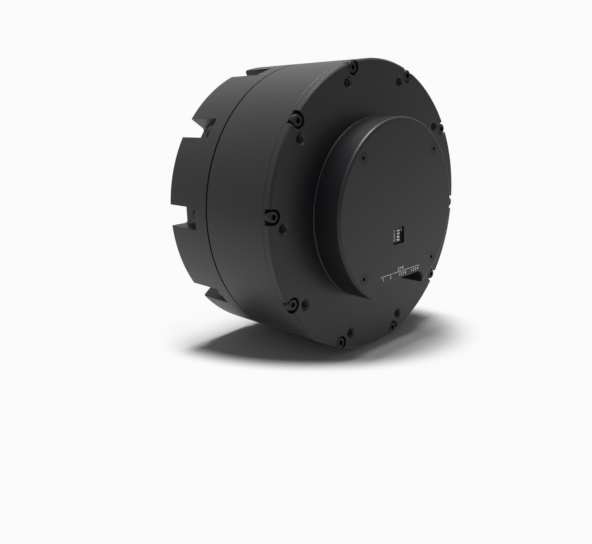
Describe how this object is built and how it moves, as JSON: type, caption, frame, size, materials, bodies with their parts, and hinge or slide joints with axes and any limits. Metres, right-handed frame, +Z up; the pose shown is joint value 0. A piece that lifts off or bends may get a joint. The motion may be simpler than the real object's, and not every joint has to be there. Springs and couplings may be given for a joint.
{
  "type": "robot joint actuator",
  "caption": "Black drum-shaped robot joint actuator: motor, two-stage planetary gearbox, driver electronics under a round front cover, slotted rear and turning output flange.",
  "frame": {"origin": "on the shaft axis in the plane of the front mounting face", "axes": "+Y along the shaft from the front mounting face to the output flange, +Z up with the connector bay pointing down, +X to the right when the front is looked at"},
  "size_m": [0.12, 0.076, 0.12],
  "materials": {
    "anodised_black": "matt black anodised, fine bead blast",
    "screw_black": "black oxide, slight sheen",
    "screw_bright": "bright zinc",
    "bearing_steel": "ground and polished",
    "gear_steel": "hardened, machined",
    "machined_alloy": "bare machined",
    "lamination": "stacked silicon steel",
    "copper": "enamelled copper wire",
    "magnet": "nickel plated",
    "seal_rubber": "matt",
    "board_green": "solder mask",
    "chip_black": "moulded epoxy",
    "cap_alloy": "drawn can",
    "pad_grey": "soft silicone",
    "connector_yellow": "nylon",
    "connector_white": "nylon",
    "switch_black": "moulded",
    "slider_white": "moulded",
    "bronze": "sintered bronze"
  },
  "bodies": {
    "housing": {"bearing_spacer": "machined_alloy", "board_screws": "screw_bright", "bus_connector_a": "connector_white", "bus_connector_b": "connector_white", "capacitors": "cap_alloy", "controller_chip": "chip_black", "driver_board": "board_green", "driver_cover": "anodised_black", "encoder_chips": "chip_black", "end_cover": "anodised_black", "gearbox_housing": "anodised_black", "hub_screws": "screw_black", "motor_bearing_outers": "bearing_steel", "motor_housing": "anodised_black", "output_bearing_outer": "bearing_steel", "output_seal": "seal_rubber", "phase_leads": "copper", "power_connector": "connector_yellow", "power_transistors": "chip_black", "rear_ring": "anodised_black", "rear_ring_screws": "screw_black", "rim_screws": "screw_black", "ring_gear_1": "gear_steel", "ring_gear_2": "gear_steel", "seam_seal": "seal_rubber", "slot_screws": "screw_black", "stator_coils": "copper", "stator_core": "lamination", "switch_body": "switch_black", "thermal_pad": "pad_grey"},
    "rotor": {"rotor_cup": "gear_steel", "rotor_magnets": "magnet", "motor_bearing_inners": "bearing_steel", "shaft_circlip": "gear_steel", "rotor_encoder_magnet": "magnet", "sun_gear_1": "gear_steel"},
    "first_carrier": {"carrier_1": "gear_steel", "carrier_1_plate": "gear_steel", "planet_pins_1": "bearing_steel", "planet_sleeves_1": "bronze", "carrier_bearing_inner": "bearing_steel"},
    "output": {"output_flange": "machined_alloy", "planet_pins_2": "bearing_steel", "planet_sleeves_2": "bronze", "output_bearing_inner": "bearing_steel", "encoder_rod": "gear_steel", "rod_magnet": "magnet", "carrier_bearing_outer": "bearing_steel"},
    "roller_set": {"crossed_rollers": "bearing_steel"},
    "planet_1a": {"planet_gear_1a": "gear_steel"},
    "planet_2a": {"planet_gear_2a": "gear_steel"},
    "planet_1b": {"planet_gear_1b": "gear_steel"},
    "planet_2b": {"planet_gear_2b": "gear_steel"},
    "planet_1c": {"planet_gear_1c": "gear_steel"},
    "planet_2c": {"planet_gear_2c": "gear_steel"},
    "slider_1": {"switch_slider_1": "slider_white"},
    "slider_2": {"switch_slider_2": "slider_white"},
    "slider_3": {"switch_slider_3": "slider_white"},
    "slider_4": {"switch_slider_4": "slider_white"}
  },
  "joints": [
    {"name": "rotor_spin", "type": "hinge", "parent": "housing", "child": "rotor", "pos_m": [0, 0, 0], "axis": [0, 1, 0], "continuous": true},
    {"name": "first_carrier_spin", "type": "hinge", "parent": "housing", "child": "first_carrier", "pos_m": [0, 0, 0], "axis": [0, 1, 0], "continuous": true},
    {"name": "output_spin", "type": "hinge", "parent": "housing", "child": "output", "pos_m": [0, 0, 0], "axis": [0, 1, 0], "continuous": true},
    {"name": "roller_set_spin", "type": "hinge", "parent": "housing", "child": "roller_set", "pos_m": [0, 0, 0], "axis": [0, 1, 0], "continuous": true},
    {"name": "planet_1a_spin", "type": "hinge", "parent": "first_carrier", "child": "planet_1a", "pos_m": [0.018, 0, 0], "axis": [0, 1, 0], "continuous": true},
    {"name": "planet_1b_spin", "type": "hinge", "parent": "first_carrier", "child": "planet_1b", "pos_m": [-0.009, 0, 0.01559], "axis": [0, 1, 0], "continuous": true},
    {"name": "planet_1c_spin", "type": "hinge", "parent": "first_carrier", "child": "planet_1c", "pos_m": [-0.009, 0, -0.01559], "axis": [0, 1, 0], "continuous": true},
    {"name": "planet_2a_spin", "type": "hinge", "parent": "output", "child": "planet_2a", "pos_m": [0.0225, 0, 0], "axis": [0, 1, 0], "continuous": true},
    {"name": "planet_2b_spin", "type": "hinge", "parent": "output", "child": "planet_2b", "pos_m": [-0.01125, 0, 0.01949], "axis": [0, 1, 0], "continuous": true},
    {"name": "planet_2c_spin", "type": "hinge", "parent": "output", "child": "planet_2c", "pos_m": [-0.01125, 0, -0.01949], "axis": [0, 1, 0], "continuous": true},
    {"name": "slider_1_slide", "type": "slide", "parent": "housing", "child": "slider_1", "axis": [1, 0, 0], "range_m": [0, 0.0013]},
    {"name": "slider_2_slide", "type": "slide", "parent": "housing", "child": "slider_2", "axis": [1, 0, 0], "range_m": [0, 0.0013]},
    {"name": "slider_3_slide", "type": "slide", "parent": "housing", "child": "slider_3", "axis": [1, 0, 0], "range_m": [0, 0.0013]},
    {"name": "slider_4_slide", "type": "slide", "parent": "housing", "child": "slider_4", "axis": [1, 0, 0], "range_m": [0, 0.0013]}
  ],
  "couplings": [
    {"joint": "first_carrier_spin", "follows": "rotor_spin", "ratio": 0.16667},
    {"joint": "output_spin", "follows": "rotor_spin", "ratio": 0.027778},
    {"joint": "roller_set_spin", "follows": "rotor_spin", "ratio": 0.013889},
    {"joint": "planet_1a_spin", "follows": "rotor_spin", "ratio": -0.41667},
    {"joint": "planet_1b_spin", "follows": "rotor_spin", "ratio": -0.41667},
    {"joint": "planet_1c_spin", "follows": "rotor_spin", "ratio": -0.41667},
    {"joint": "planet_2a_spin", "follows": "rotor_spin", "ratio": -0.069444},
    {"joint": "planet_2b_spin", "follows": "rotor_spin", "ratio": -0.069444},
    {"joint": "planet_2c_spin", "follows": "rotor_spin", "ratio": -0.069444}
  ]
}
